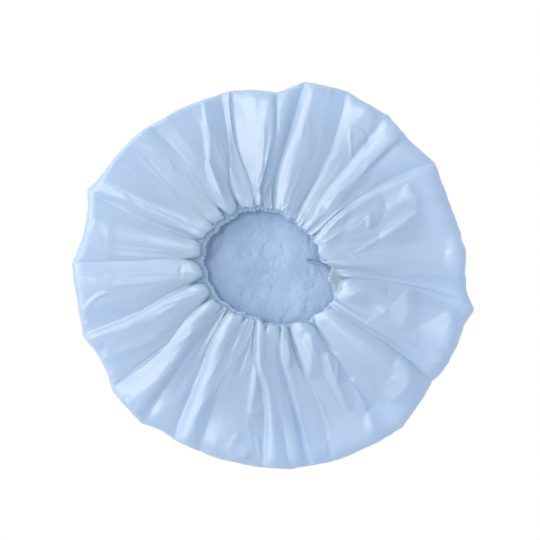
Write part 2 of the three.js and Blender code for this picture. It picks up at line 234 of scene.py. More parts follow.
# One row for each crease, going round: its azimuth at the hem, at runs of 0.2 and 0.5 and at the
# rim; radius of the hem and of the rim there; bow of the rim past the straight line to the next
# crease; how far out the notch between the folds' ends goes; how deep the crease is near the hem,
# midway and near the rim; how far the fold between it and the next crease puffs up; where across
# that fold its crest lies, near the hem and far out; how full the fold is, from 0 for flat between
# its creases to 1; how crinkled its end is; and how far that end stands back from the elastic.
FOLDS = table(
    ("hem", "near", "mid", "rim", "hem_radius", "rim_radius", "bow", "gap", "step_in", "step_mid",
     "step_out", "puff", "crest_in", "crest_out", "fill", "crinkle", "setback"),
    (
        (6, 7, 9.5, 10, 38, 141.1, 0, 2, 1.5, 1.2, 0.8, 12, 0.8, 0.86, 1, 0, 0),
        (35, 38.3, 37.2, 32.5, 37.1, 142.2, -0.5, 3.5, 2.4, 3.4, 2, 9, 0.5, 0.5, 0.05, 1, 0),
        (42.5, 42, 44, 44, 36.4, 138, -0.4, 1, 1, 0.4, 0.2, 9, 0.4, 0.18, 1, 1, 0),
        (51, 53.4, 52.5, 52, 36, 140.4, -0.5, 3.5, 3.4, 3.4, 2.8, 8, 0.35, 0.4, 0.05, 0.5, 0),
        (62.5, 61.8, 62.2, 66, 36.7, 139.7, 0, 5, 4.2, 3.8, 2.6, 6.5, 0.6, 0.72, 1, 0.5, 0),
        (86, 85.8, 82, 79, 39.6, 137.3, -0.3, 4, 5.2, 5, 4, 9, 0.6, 0.5, 0.1, 1, 0),
        (96.5, 93.5, 87.5, 87.5, 40.7, 127.1, 1.2, 3, 3, 1.5, 0.8, 9.5, 0.3, 0.12, 1, 0.7, 0),
        (102.5, 102, 104.5, 102, 41.8, 130.8, 0, 4, 3.2, 2.6, 1.6, 7.5, 0.5, 0.4, 0.4, 0.5, 0),
        (117, 115, 108.5, 105, 43.6, 131, 1.9, 6, 3.2, 2.2, 1.2, 10.5, 0.14, 0.3, 0.8, 0.3, 0),
        (130, 130.7, 128, 130, 43.6, 133.6, 0, 8, 2.4, 0.3, 0.1, 9.5, 0.5, 0.5, 0.3, 0.3, 0),
        (143, 141, 140, 137, 45.4, 135.7, 0, 3, 1.5, 0.6, 0.4, 9.5, 0.75, 0.45, 1, 0.3, 0),
        (159, 159, 159, 157, 47.5, 142.9, -3.7, 5, 3, 2.5, 1.5, 10.5, 0.4, 0.5, 1, 0.3, 0),
        (174, 175, 177.5, 179, 46.4, 143.3, 0, 8, 2.5, 1.5, 0.8, 10, 0.5, 0.35, 1, 0.3, 0),
        (191, 194, 198.7, 200, 43.9, 144, -2.7, 8, 3.5, 2.8, 1.8, 11, 0.25, 0.12, 1, 0.4, 0),
        (207, 211, 217.7, 217.7, 42.5, 144.2, 0.5, 8, 3.5, 3, 2.2, 10.5, 0.35, 0.7, 1, 0.3, 0),
        (220, 225.5, 228, 231, 40.3, 146.3, -1.3, 2, 2.5, 2.2, 0.9, 7, 0.5, 0.5, 0.2, 0.5, 0),
        (226, 230.5, 236.5, 241, 39.2, 142.9, 0, 4.5, 4.5, 4.5, 3.4, 12, 0.42, 0.5, 1, 0.2, 0),
        (244, 246, 248, 249, 37.4, 142.6, 1.9, 2, 1.9, 1.4, 0.5, 8.5, 0.4, 0.4, 0.3, 0.5, 0),
        (256, 259.3, 267.3, 268.2, 36.7, 145.6, 0, 3, 4.5, 4.6, 3.6, 10.5, 0.45, 0.42, 1, 0.2, 0),
        (267, 268.5, 274, 276, 39.6, 148.2, 0, 1.5, 1.5, 1.2, 0.9, 10, 0.5, 0.5, 0.2, 0.1, 0),
        (281, 277, 280.2, 281.5, 41.8, 147.6, 0, 3, 4.2, 4.2, 3.2, 10.5, 0.3, 0.16, 0.8, 0.2, 0),
        (288, 287.3, 289.7, 288, 42.8, 148.3, 1.5, 5, 5.5, 2.4, 1, 12.5, 0.5, 0.6, 1, 0.2, 0),
        (308.5, 307.5, 306, 309.5, 47.5, 151.2, 1.2, 8, 4.5, 1.4, 0.8, 12.5, 0.75, 0.8, 1, 0.1, 0),
        (327.5, 326.5, 326.5, 325, 50.8, 143.8, 1.5, 4, 2, 1.5, 1, 7.5, 0.5, 0.5, 0.5, 1, 0),
        (334, 332.5, 332, 333, 52.5, 146.9, -0.9, 3, 2, 0.8, 0.5, 11.5, 0.5, 0.5, 1, 0.3, 0),
        (350, 353, 352.5, 348.5, 43.4, 151.9, 0, 6, 2.5, 1.5, 1, 7.5, 0.5, 0.5, 0.3, 0.5, 8.5),
        (359, 358, 356, 354, 45, 144, 0.3, 3, 2, 1, 0.5, 10, 0.5, 0.5, 1, 0.2, 3),
    ),
)
CREASE_RUNS = (0.0, 0.2, 0.5, 1.0)
CREASE_AZIMUTHS = ("hem", "near", "mid", "rim")

# Where the CAD has its sections across a fold, from its crease: they give its centre.
ACROSS_FOLD = (0, 0.12, 0.36, 0.64, 0.88)

# Smaller folds, each along a curve through three points (azimuth, radius). Height is negative for
# a valley. Right and left are the widths of its two slopes, looking from its first point to its
# last, so a line that runs outwards has its lower azimuths on the right.
CURVE = (
    "azimuth0", "radius0", "azimuth1", "radius1", "azimuth2", "radius2", "height", "right", "left"
)
LINES = table(
    CURVE,
    (
        (23.5, 43, 25, 52, 26, 61, 0.8, 3, 3.5),
        (9.3, 62, 15, 83, 21, 115, 0.9, 5, 3.5),
        (29.5, 46, 34.3, 60, 34.5, 92, 1.5, 8, 4.5),
        (33, 122, 32.5, 131, 33.5, 139, 0.9, 1.6, 1.6),
        (51.7, 132, 52, 136, 52, 140, 0.8, 1, 1),
        (36.5, 41, 38.5, 55, 38.5, 69, 1.6, 2, 5),
        (52.6, 98, 57, 107, 60.3, 117.5, 0.8, 2, 1.3),
        (51.5, 109, 54, 119, 60.3, 118.5, -0.8, 4, 2),
        (70.5, 46.5, 74, 45, 76.5, 41, 1.2, 1.5, 3),
        (88.6, 44, 88.2, 51, 87.8, 58, 1.2, 1, 1),
        (96.5, 45, 93, 54, 89, 63, 1.8, 3, 2.5),
        (99.5, 54, 93.5, 66, 89, 94, 1.6, 2, 1.6),
        (97, 58, 92, 75, 89.7, 112, -1.4, 1.5, 1.5),
        (125.5, 50, 122, 70, 119.5, 88, 2.9, 8, 6),
        (119.7, 86, 114.5, 104, 111.3, 129, 2, 11, 4.5),
        (134.3, 96, 133.6, 101, 132.6, 105, 0.9, 0.9, 0.7),
        (131, 104, 134, 119, 136.4, 135, -0.4, 1.2, 4),
        (155.3, 108, 153, 120, 151.8, 133, 0.8, 2.5, 1),
        (178, 62, 183, 63, 187.5, 62.5, -0.4, 3, 3),
        (193.5, 99, 196.5, 97, 199, 96, 0.8, 4, 2),
        (189.5, 114, 190.5, 127, 195, 136, 0.9, 3, 1.5),
        (197.3, 135.5, 197.2, 139, 197.2, 142, 0.8, 0.8, 0.8),
        (217.1, 90, 217.1, 115, 217.3, 140, -0.7, 0.8, 0.8),
        (213, 129, 214, 134, 214.8, 139, 0.8, 1, 1.4),
        (216.6, 136, 216.6, 138.5, 216.7, 141, 0.8, 0.8, 0.8),
        (230, 131, 230.3, 136, 230.8, 141, 0.7, 0.8, 1.2),
        (255.5, 50, 255.3, 63, 254, 84, -0.7, 2, 1.8),
        (262, 108, 262.5, 114, 263, 120, 1, 1.8, 2.2),
        (263, 120, 264, 120, 265, 119.5, 0.9, 2.5, 1.5),
        (265.5, 121, 266.5, 128, 267.5, 138, 1.3, 2, 3),
        (263, 121.5, 264.5, 127, 265.5, 132, 0.8, 1.8, 2),
        (257, 140, 258.5, 127, 260, 119, 0.8, 6, 3),
        (281, 100, 282, 115, 282.5, 130, 0.6, 2, 1.2),
        (277.5, 92, 279, 108, 279, 125, 0.4, 1.2, 2),
        (283, 45, 278, 58, 277.5, 74, 1, 2, 2.5),
        (288, 57, 288, 70, 288.5, 84, -1.2, 2, 2),
        (290, 92, 291, 110, 291, 128, 0.6, 2.5, 1.2),
        (291, 128, 288.5, 132, 286.5, 142, 0.5, 3, 2),
        (297, 82, 297, 98, 297.5, 118, -0.8, 1.5, 3),
        (306.5, 82, 303, 89, 299, 98, 0.8, 1.8, 3),
        (308, 54, 307, 66, 306, 80, -0.9, 1.5, 1.5),
        (313, 112, 310.5, 125, 310, 145, -1, 5, 7),
        (331, 80, 336, 85, 341, 90, 0.6, 8, 3.5),
        (353, 60, 352, 100, 347.5, 143, -1.3, 9, 9),
        (348.5, 54, 351, 59, 353, 64, 0.5, 1.5, 2.5),
        (353, 55, 354.5, 61, 356, 67, 0.5, 1.5, 2),
        (10, 59.5, 7, 62, 5, 71, 0.5, 3, 1.5),
        (34, 95, 27, 93, 19, 80, -0.9, 8, 12),
        (25, 69, 26, 74, 27.5, 80, 0.5, 3, 1.2),
        (32.5, 132, 32, 136, 31.5, 139, 0.7, 1.5, 1.5),
    ),
)

# Flat facets, each below one edge, with the same columns.
FACETS = table(
    CURVE,
    (
        (346, 131, 340, 137.5, 330.5, 141.5, 4.2, 22, 12),
        (323.5, 112, 321, 127, 312, 129, 3.4, 16, 10),
        (302, 54, 297, 68, 290, 85, 2.4, 8, 12),
        (305, 73, 301, 88, 299, 117, 3.2, 6, 12),
        (304.5, 125, 303, 136, 298, 147, 1.9, 7, 12),
        (305, 98, 305, 112, 304.5, 124, 1.8, 8, 12),
        (349, 97.5, 344, 103, 335, 104, 2, 13, 12),
        (9, 132, 4, 138, -3, 136, 3.7, 14, 7),
        (336, 61, 345, 67, 349.5, 86, 1.9, 14, 7),
        (31, 114.5, 26, 115, 21.5, 114, 1.6, 12, 7),
        (20.5, 115, 17, 98, 13.5, 82, 2, 8, 14),
        (28, 82, 24.5, 78.5, 20.5, 76, 1.2, 3.5, 5),
        (66, 137, 60, 134.5, 54.5, 134, 1.9, 9, 4),
        (261, 62, 263, 82, 262.5, 107, 1.7, 3.4, 6),
        (259, 143, 262, 137.5, 265.5, 132, 2.2, 4, 11),
        (262, 107, 265, 104, 268, 101, 1, 6, 5),
        (283.5, 52, 283, 62, 281.5, 73, 1.5, 3.2, 3.5),
    ),
)

# Soft oval hollows: centre, half sizes round and out, and depth, which is negative for a mound.
DENTS = table(
    ("azimuth", "radius", "round", "out", "depth"),
    (
        (46.5, 57.6, 4, 8, 1.2),
        (340.5, 76, 9, 9, 1.6),
        (303, 84, 4, 7, 0.5),
        (322, 98, 14, 30, -5),
        (31, 59, 3.5, 8, 0.9),
        (18, 52, 5, 8, 1.2),
    ),
)

LINE_FOOT, FACET_FOOT = 1.8, 1.15  # how much their slopes flatten towards the foot
END_WIDTH = 0.3  # how wide a line or facet is at its ends, as a share of its middle

# ---- small maths


def smooth(x):
    x = np.clip(x, 0.0, 1.0)
    return x * x * (3.0 - 2.0 * x)


def mix(a, b, t):
    return a + (b - a) * t


def through(knots, values, x):
    """A smooth curve through values at rising knots. Each value may be an array over the places."""
    last = len(knots) - 1

    def slope(i):
        a, b = max(i - 1, 0), min(i + 1, last)
        return (values[b] - values[a]) / (knots[b] - knots[a])

    out = np.zeros(np.broadcast(values[0], x).shape)
    for i in range(last):
        span = knots[i + 1] - knots[i]
        t = (x - knots[i]) / span
        low = -np.inf if i == 0 else knots[i]
        high = np.inf if i == last - 1 else knots[i + 1]
        t2, t3 = t * t, t * t * t
        piece = (
            (2 * t3 - 3 * t2 + 1) * values[i]
            + (t3 - 2 * t2 + t) * span * slope(i)
            + (3 * t2 - 2 * t3) * values[i + 1]
            + (t3 - t2) * span * slope(i + 1)
        )
        out = np.where((x >= low) & (x < high), piece, out)
    return out


def rows_of(rows):
    """The rows of a table, each as one value per named column."""
    for values in zip(*rows.values()):
        yield dict(zip(rows, values))


def waves(angle, rows, phase=0.0):
    """The sum of a table's waves at angles in radians."""
    total = 0.0
    for row in rows_of(rows):
        shift = row["shift"] * np.sin(row["shift_count"] * angle + row["shift_start"])
        wave = np.sin(row["count"] * angle + row["start"] + shift + row["follow"] * phase)
        total = total + row["height"] * wave
    return total


def polar(radius, azimuth, z=0.0):
    turn = np.radians(azimuth)
    return np.stack(np.broadcast_arrays(radius * np.cos(turn), radius * np.sin(turn), z), axis=-1)


# ---- places across the folds
FOLD_COUNT = len(FOLDS["hem"])


def fold_columns(total):
    """Fold number and share across the fold of every column, closer together at the creases."""
    width = np.diff(np.append(FOLDS["near"], FOLDS["near"][0] + 360.0))
    counts = np.maximum(FEWEST_COLUMNS, np.round(width / 360.0 * total)).astype(int)
    fold = np.repeat(np.arange(FOLD_COUNT), counts)
    even = np.concatenate([np.arange(n) / n for n in counts])
    crowded = 0.5 - 0.5 * np.cos(np.pi * even)
    return fold, mix(even, crowded, CROWDING)


def even_columns(count):
    """Fold number and share across the fold of columns that are spread evenly over the folds."""
    place = np.linspace(0, FOLD_COUNT, count, endpoint=False)
    fold = place.astype(int)
    return fold, place - fold


class Across:
    """The fold table's values at the columns: of the crease before, the crease after, and mixed."""

    CREST_RUN = 0.6  # run where a fold's crest has reached its place far out
    NARROW_POWER, WIDE_POWER = 2.2, 1.7  # how square a fold is on a narrow side and on a wide one
    NARROW_SIDE, SIDE_RANGE = 0.3, 0.4  # share of the fold that is narrow; how much more is wide

    def __init__(self, fold, share):
        self.fold, self.share = fold, share
        self.after = (fold + 1) % FOLD_COUNT
        self.before = (fold - 1) % FOLD_COUNT
        self.turn = np.where(self.after == 0, 360.0, 0.0)

    def start(self, name):
        return FOLDS[name][self.fold]

    def end(self, name):
        turn = self.turn if name in CREASE_AZIMUTHS else 0.0
        return FOLDS[name][self.after] + turn

    def crease_azimuths(self, run):
        before = through(CREASE_RUNS, [self.start(n) for n in CREASE_AZIMUTHS], run)
        after = through(CREASE_RUNS, [self.end(n) for n in CREASE_AZIMUTHS], run)
        return before, after

    def azimuth(self, run):
        return mix(*self.crease_azimuths(run), self.share)

    def spread(self, run):
        before, after = self.crease_azimuths(run)
        return after - before

    def rim_radius(self):
        """The straight line between two corners of the outline, bowed."""
        span = np.radians(self.end("rim") - self.start("rim"))
        a, b, rest = self.start("rim_radius"), self.end("rim_radius"), 1 - self.share
        chord = a * b * np.sin(span) / (a * np.sin(span * self.share) + b * np.sin(span * rest))
        return chord + self.start("bow") * 4 * self.share * rest

    def hem_azimuth(self):
        return self.azimuth(np.zeros(len(self.share)))

    def rim_azimuth(self):
        return self.azimuth(np.ones(len(self.share)))

    def smoothly(self, name):
        """From the value at the crease before to that at the crease after."""
        return mix(self.start(name), self.end(name), smooth(self.share))

    def puff(self):
        """How far the fold puffs up, shared with its neighbour at the creases."""
        neighbour = np.where(self.share < 0.5, FOLDS["puff"][self.before], FOLDS["puff"][self.after])
        own = self.start("puff")
        return mix((neighbour + own) / 2, own, smooth(1 - np.abs(2 * self.share - 1)))

    def hollow(self, run):
        """0 at the crest of a full fold, 1 at the creases."""
        return 1.0 - self.arch(run) * self.start("fill")

    def arch(self, run):
        """1 at the crest, 0 at the creases: rounded and steep on the fold's narrow side."""
        crest = mix(self.start("crest_in"), self.start("crest_out"), smooth(run / self.CREST_RUN))
        side = np.where(self.share < crest, crest, 1.0 - crest)
        away = np.abs(self.share - crest) / side
        width = smooth((side - self.NARROW_SIDE) / self.SIDE_RANGE)
        return 1.0 - away ** mix(self.NARROW_POWER, self.WIDE_POWER, width)


def outline_centre():
    """Middle of the outline's box in the polar frame: the row frame's origin."""
    fold = np.repeat(np.arange(FOLD_COUNT), len(ACROSS_FOLD))
    columns = Across(fold, np.tile(ACROSS_FOLD, FOLD_COUNT))
    points = polar(columns.rim_radius(), columns.rim_azimuth())
    return (points.min(axis=0) + points.max(axis=0)) / 2


CENTRE = outline_centre()


def to_row(points):
    """From the polar frame's millimetres to the row frame's metres."""
    return (points - CENTRE) * MM


# ---- meshes


def grid_normals(grid):
    """Normals of a grid of points whose columns close into a ring."""
    along = np.gradient(grid, axis=0)
    around = (np.roll(grid, -1, axis=1) - np.roll(grid, 1, axis=1)) / 2
    normals = np.cross(along, around)
    return normals / np.maximum(np.linalg.norm(normals, axis=-1, keepdims=True), 1e-12)


def ring_faces(rows, columns):
    """Quads between neighbouring rows of points, closed round."""
    i = np.arange(rows - 1)[:, None] * columns
    j = np.arange(columns)
    following = (j + 1) % columns
    corners = (i + j, i + columns + j, i + columns + following, i + following)
    return np.stack(np.broadcast_arrays(*corners), axis=-1).reshape(-1, 4)


def fan_faces(centre, ring, upwards):
    """Triangles between one point and a ring of points."""
    following = np.roll(ring, -1)
    pair = (ring, following) if upwards else (following, ring)
    return np.stack([np.full(len(ring), centre), *pair], axis=-1)


def new_object(name, data):
    """An object in the scene."""
    made = bpy.data.objects.new(name, data)
    bpy.context.scene.collection.objects.link(made)
    return made


def make_piece(name, points, faces, material):
    """A smooth-shaded piece from points and groups of faces."""
    mesh = bpy.data.meshes.new(name)
    mesh.from_pydata(points.tolist(), [], [f.tolist() for group in faces for f in group])
    mesh.validate()
    mesh.polygons.foreach_set("use_smooth", np.ones(len(mesh.polygons), bool))
    piece = new_object(name, mesh)
    piece.data.materials.append(material)
    return piece


def add_attribute(piece, name, values):
    """One number for each point of a piece, for its material to read."""
    attribute = piece.data.attributes.new(name, "FLOAT", "POINT")
    attribute.data.foreach_set("value", values.astype(np.float32))


# ---- small folds


def curve_through(knots, steps):
    """A parabola through three points, at steps from 0 to 1."""
    return (
        (2 * steps - 1) * (steps - 1) * knots[0]
        + 4 * steps * (1 - steps) * knots[1]
        + steps * (2 * steps - 1) * knots[2]
    )


def line_relief(points, row, foot):
    """Height that one small fold adds at points in the plane. It is lower and narrower towards its
    ends, and foot says how much its slopes flatten below."""
    knots = polar(
        np.array([row["radius0"], row["radius1"], row["radius2"]]),
        np.array([row["azimuth0"], row["azimuth1"], row["azimuth2"]]),
    )[:, :2]
    curve = curve_through(knots, np.linspace(0.0, 1.0, CURVE_POINTS)[:, None])
    nearest = np.full(len(points), np.inf)
    share = np.zeros(len(points))
    side = np.zeros(len(points))
    for i in range(len(curve) - 1):
        start, step = curve[i], curve[i + 1] - curve[i]
        along = np.clip(((points - start) @ step) / (step @ step), 0.0, 1.0)
        off = points - start - along[:, None] * step
        distance = np.hypot(off[:, 0], off[:, 1])
        closer = distance < nearest
        nearest = np.where(closer, distance, nearest)
        share = np.where(closer, (i + along) / (len(curve) - 1), share)
        side = np.where(closer, step[0] * off[:, 1] - step[1] * off[:, 0], side)
    width = np.where(side > 0, row["left"], row["right"])
    taper = np.sqrt(np.maximum(0.0, 4 * share * (1 - share)))
    width = width * (END_WIDTH + (1 - END_WIDTH) * taper)
    return row["height"] * taper * np.clip(1 - nearest / width, 0, 1) ** foot


def dent_relief(points, row):
    """Height that one hollow adds at points in the plane."""
    centre = polar(row["radius"], row["azimuth"])[:2]
    turn = math.radians(row["azimuth"])
    off = points - centre
    out = off[:, 0] * math.cos(turn) + off[:, 1] * math.sin(turn)
    around = off[:, 1] * math.cos(turn) - off[:, 0] * math.sin(turn)
    return -row["depth"] * np.exp(-((out / row["out"]) ** 2) - (around / row["round"]) ** 2)


def relief(points):
    """Height that small folds, facets and hollows add at points in the plane."""
    total = np.zeros(len(points))
    for rows, foot in ((LINES, LINE_FOOT), (FACETS, FACET_FOOT)):
        for row in rows_of(rows):
            total += line_relief(points, row, foot)
    for row in rows_of(DENTS):
        total += dent_relief(points, row)
    return total


# ---- the film


def band_lean(azimuth):
    return np.radians(BAND_LEAN + BAND_LEAN_SWING * np.cos(np.radians(azimuth - STEEPEST_AT)))


class BandPath:
    """Where the elastic runs: its middle line and the directions across and through it."""

    def __init__(self, columns):
        self.azimuth = columns.hem_azimuth()
        lean = band_lean(self.azimuth)
        turn = np.radians(self.azimuth)
        out = polar(np.ones(len(turn)), self.azimuth)
        up = np.array([0.0, 0.0, 1.0])
        self.wide = out * np.cos(lean)[:, None] + up * np.sin(lean)[:, None]
        self.thick = up * np.cos(lean)[:, None] - out * np.sin(lean)[:, None]
        wander = waves(turn, BAND_WANDER)
        radius = columns.smoothly("hem_radius") + BAND_WIDTH / 2 * np.cos(lean) + wander
        self.middle = polar(radius, self.azimuth, HEM_HEIGHT - BAND_DROP + waves(turn, BAND_SAG))

    def at(self, across, above):
        """Points at a distance across the elastic, outwards, and above its middle."""
        above = np.broadcast_to(above, self.azimuth.shape)[:, None]
        return self.middle + self.wide * across + self.thick * above


def crease_depth(columns, run):
    """How deep the creases are, with a smooth change from each to the next."""
    names = ("step_in", "step_mid", "step_out")
    run = np.clip(run, STEP_RUNS[0], STEP_RUNS[-1])
    before = through(STEP_RUNS, [columns.start(n) for n in names], run)
    after = through(STEP_RUNS, [columns.end(n) for n in names], run)
    return mix(before, after, columns.share)


def lobe_roll(columns, from_hem):
    """0 on the level of the elastic, 1 on the folds, whose rounded ends have notches between."""
    notch = columns.smoothly("gap")
    inset = notch * (1 - np.sqrt(1 - np.abs(2 * columns.share - 1) ** NOTCH_POWER))
    inset = inset + mix(columns.start("setback"), columns.end("setback"), columns.share)
    return np.sqrt(1 - (1 - np.clip((from_hem - inset) / LOBE_END, 0, 1)) ** 2)


def notch_shade(columns, from_hem):
    """Painted shade: 1 in the notches between the folds' ends, where one sees into the cap."""
    gap = columns.smoothly("gap")
    open_share = (1 - lobe_roll(columns, from_hem)) ** 2
    return open_share * smooth(from_hem / NOTCH_START) * smooth(gap / NOTCH_GAP)


def crease_shade(columns, run, radius):
    """Painted shade at the bottom of the deep creases near the elastic, narrower than the mesh shows.
    """
    near = np.minimum(columns.share, 1 - columns.share)
    width = np.radians(columns.spread(run)) * radius
    depth = crease_depth(columns, run)
    across = np.exp(-((near * width / SHADE_WIDTH) ** 2))
    fade = 1 - smooth((run - SHADE_FROM) / SHADE_RUN)
    return SHADE_STRENGTH * across * np.clip(depth / SHADE_DEPTH, 0, 1) * fade


def overhang(columns, from_hem):
    """How far the middle of a fold's end bulges inwards, over the elastic."""
    middle = smooth(OVERHANG_BREADTH * (1 - np.abs(2 * columns.share - 1)))
    towards = np.cos(np.radians(columns.hem_azimuth() - STEEPEST_AT))
    amount = OVERHANG + OVERHANG_SWING * towards
    share = from_hem / OVERHANG_REACH
    return amount * middle * share * np.exp(1 - share) * (1 - np.exp(-share * OVERHANG_START))


def rim_wrinkle(azimuth, turn):
    """Small sharp wrinkles above and below the rim's edge, a little askew."""
    wave = np.abs(waves(np.radians(azimuth), RIM_WRINKLES, turn) / RIM_WRINKLE_PEAK)
    return -RIM_WRINKLE * wave**RIM_WRINKLE_POWER * np.abs(np.sin(2 * turn))


def round_table(rows, name, azimuth):
    """A column of a table by azimuth, at any azimuths."""
    return np.interp(np.mod(azimuth, 360.0), rows["azimuth"], rows[name])


def rim_reach(columns):
    """How far in from its edge the rim begins to turn over."""
    return round_table(RIM_TOP_REACH, "reach", columns.rim_azimuth())


def rim_puff_share(columns):
    """How much of a fold's puff shows over the rim: more where the rim turns over tightly."""
    tight = np.clip((WIDE_REACH - rim_reach(columns)) / (WIDE_REACH - TIGHT_REACH), 0, 1)
    return mix(PUFF_SHARES[-1], TIGHT_PUFF_SHARE, tight)


def top_height(columns, run, from_hem, hem_height):
    """Height of the gathered upper side, between the hem and where the rim turns over."""
    pinch = RIM_PINCH * (1 - columns.arch(run)) * smooth((run - PINCH_FROM) / PINCH_OVER)
    shares = (*PUFF_SHARES[:-1], rim_puff_share(columns))
    puff = columns.puff() * through(PUFF_RUNS, shares, np.minimum(run, PUFF_RUNS[-1]))
    full = RIM_HALF_HEIGHT * (2 - pinch) + puff - crease_depth(columns, run) * columns.hollow(run)
    full = full + round_table(RIM_LIFT, "lift", columns.azimuth(run)) * run
    return mix(hem_height, full, lobe_roll(columns, from_hem))


LATTICE = 64


def lattice_noise(points, scale, seed, height=1.0):
    """Smooth values from minus to plus the height that change over distances of the scale."""
    values = np.random.RandomState(seed).uniform(-1, 1, (LATTICE, LATTICE))
    x, y = points[..., 0] / scale + LATTICE / 2, points[..., 1] / scale + LATTICE / 2
    i, j = np.floor(x).astype(int), np.floor(y).astype(int)
    u, v = smooth(x - i), smooth(y - j)
    i, j = i % (LATTICE - 1), j % (LATTICE - 1)
    low = mix(values[i, j], values[i + 1, j], u)
    high = mix(values[i, j + 1], values[i + 1, j + 1], u)
    return height * mix(low, high, v)


def crumple(points):
    """Random sharp little ridges, drawn out along the folds, as in film that was packed flat."""
    plane = points[..., :2]
    radius = np.hypot(plane[..., 0], plane[..., 1])
    turned = plane / np.maximum(radius, 1.0)[..., None] * CRUMPLE_RADIUS
    stretched = turned * CRUMPLE_ROUND + plane * CRUMPLE_OUT
    stretched[..., 0] += lattice_noise(points, *CRUMPLE_WARP)
    total = np.zeros(radius.shape)
    for scale, height, seed in CRUMPLES:
        total -= height * np.abs(lattice_noise(stretched, scale, seed)) ** CRUMPLE_POWER
    return total


def crinkle(columns, azimuth, from_hem):
    """Fine pleats that start at the elastic and fade outwards. Near its end, a fold takes on a
    little of the next one's."""
    amount = mix(columns.start("crinkle"), columns.end("crinkle"), smooth(2 * columns.share - 1.5) / 2)
    wave = waves(np.radians(azimuth), CRINKLES)
    return CRINKLE * amount * wave * np.exp(-((from_hem / CRINKLE_REACH) ** 2))


def hem_points(band):
    """Rows from the film's ruffled free edge under the elastic, out and up round the elastic."""
    pleat = waves(np.radians(band.azimuth), RUFFLE)
    rows = [
        band.at(
            (1 + share) * RUFFLE_WIDTH - RUFFLE_INSET, -RUFFLE_DROP - RUFFLE_SWING * share * pleat
        )
        for share in HEM_ACROSS
    ]
    rows += [band.at(BAND_WIDTH * across, above) for across, above in HEM_TURN]
    return np.stack(rows)


def top_points(columns, from_hem, hem, rim, hem_height):
    """Rows of the gathered upper side, out to where the rim turns over."""
    run = from_hem / (rim - hem)
    azimuth = columns.azimuth(run)
    height = top_height(columns, run, from_hem, hem_height) + crinkle(columns, azimuth, from_hem)
    return polar(hem + from_hem - overhang(columns, from_hem), azimuth, height)


def rim_points(columns, turn, hem, rim):
    """Rows round the rim, at angles above and below its edge."""
    above = turn > 0
    reach = np.where(above, rim_reach(columns), RIM_UNDER_REACH)
    square = np.where(above, 2 / RIM_POWER, 1.0)
    radius = rim - reach * (1 - np.abs(np.cos(turn)) ** square)
    run = (radius - hem) / (rim - hem)
    upper = np.maximum(np.sin(turn), 0.0) ** (2 / RIM_POWER)
    lower = np.minimum(np.sin(turn), 0.0)
    pinch = RIM_PINCH * (1 - columns.arch(np.ones_like(run)))
    depth = crease_depth(columns, run) * columns.hollow(np.ones_like(run))
    puff = columns.puff() * rim_puff_share(columns)
    rise = RIM_HALF_HEIGHT * (1 - pinch) + puff - depth
    rise = rise + round_table(RIM_LIFT, "lift", columns.azimuth(run)) * run
    z = RIM_HALF_HEIGHT * (1 + lower) + rise * upper
    return polar(radius, columns.azimuth(np.clip(radius / rim, 0, 1)), z)


def film_lift(columns, grid, hem, top, turn):
    """How far small folds, crumples and wrinkles stand out from the film's rows."""
    plane = grid[..., :2]
    lift = np.zeros(grid.shape[:2])
    rows = slice(top.start + STILL_ROWS, top.stop + RELIEF_RIM_ROWS)
    lift[rows] = relief(plane[rows].reshape(-1, 2)).reshape(lift[rows].shape)
    radius = np.hypot(plane[rows, :, 0], plane[rows, :, 1])
    lift[rows] += crumple(grid[rows]) * smooth((radius - hem) / CRUMPLE_FADE)
    lift[top.stop:top.stop + len(turn)] += rim_wrinkle(columns.rim_azimuth(), turn)
    return lift


def film_grid():
    """The film as rows of points, from its free edge under the elastic, out, round and in below,
    with the shares of painted light and painted shade that its material reads."""
    columns = Across(*fold_columns(COLUMN_COUNT))
    hem_rows = hem_points(BandPath(columns))
    start = hem_rows[-1]
    hem = np.hypot(start[:, 0], start[:, 1])
    rim = columns.rim_radius()
    share = (np.linspace(0, 1, TOP_ROWS + 1)[1:] ** TOP_CROWDING)[:, None]
    from_hem = share * (rim - rim_reach(columns) - hem)
    top_rows = top_points(columns, from_hem, hem, rim, start[:, 2])
    turn = np.radians(RIM_TURNS)[:, None]
    rim_rows = rim_points(columns, turn, hem, rim)
    crown_rows = polar(CROWN_SHARES[:, None] * rim, columns.rim_azimuth(), 0.0)
    grid = np.concatenate([hem_rows, top_rows, rim_rows, crown_rows])
    top = slice(len(hem_rows), len(hem_rows) + TOP_ROWS)
    grid += grid_normals(grid) * film_lift(columns, grid, hem, top, turn)[..., None]
    notch, painted_light = np.zeros((2, *grid.shape[:2]))
    # The notch share is painted shade: in the notches and at the bottom of the deep creases.
    shade = crease_shade(columns, from_hem / (rim - hem), hem + from_hem)
    notch[top] = np.maximum(notch_shade(columns, from_hem), shade)
    # Painted light: full under the elastic, fading out from the hem.
    painted_light[:top.start] = 1.0
    painted_light[top] = np.exp(-((from_hem / PAINTED_LIGHT_REACH) ** 2))
    return grid, {"notch": notch, "painted_light": painted_light}


def film_piece(material):
    grid, shares = film_grid()
    rows, count = grid.shape[:2]
    points = np.concatenate([grid.reshape(-1, 3), [[0.0, 0.0, 0.0]]])
    last = np.arange(count) + (rows - 1) * count
    faces = [ring_faces(rows, count), fan_faces(len(points) - 1, last, False)]
    piece = make_piece("film", to_row(points), faces, material)
    for name, values in shares.items():
        add_attribute(piece, name, np.append(values, 0.0))
    return piece


# ---- the elastic

# The elastic's section as shares of its half width and half thickness: a tape with two beads.
BAND_SECTION = (
    (-1, -0.5), (-0.92, 1), (-0.7, 0.3), (0, 0.1), (0.6, 0.3), (0.9, 1), (1, -0.5),
    (0.9, -1), (-0.9, -1),
)
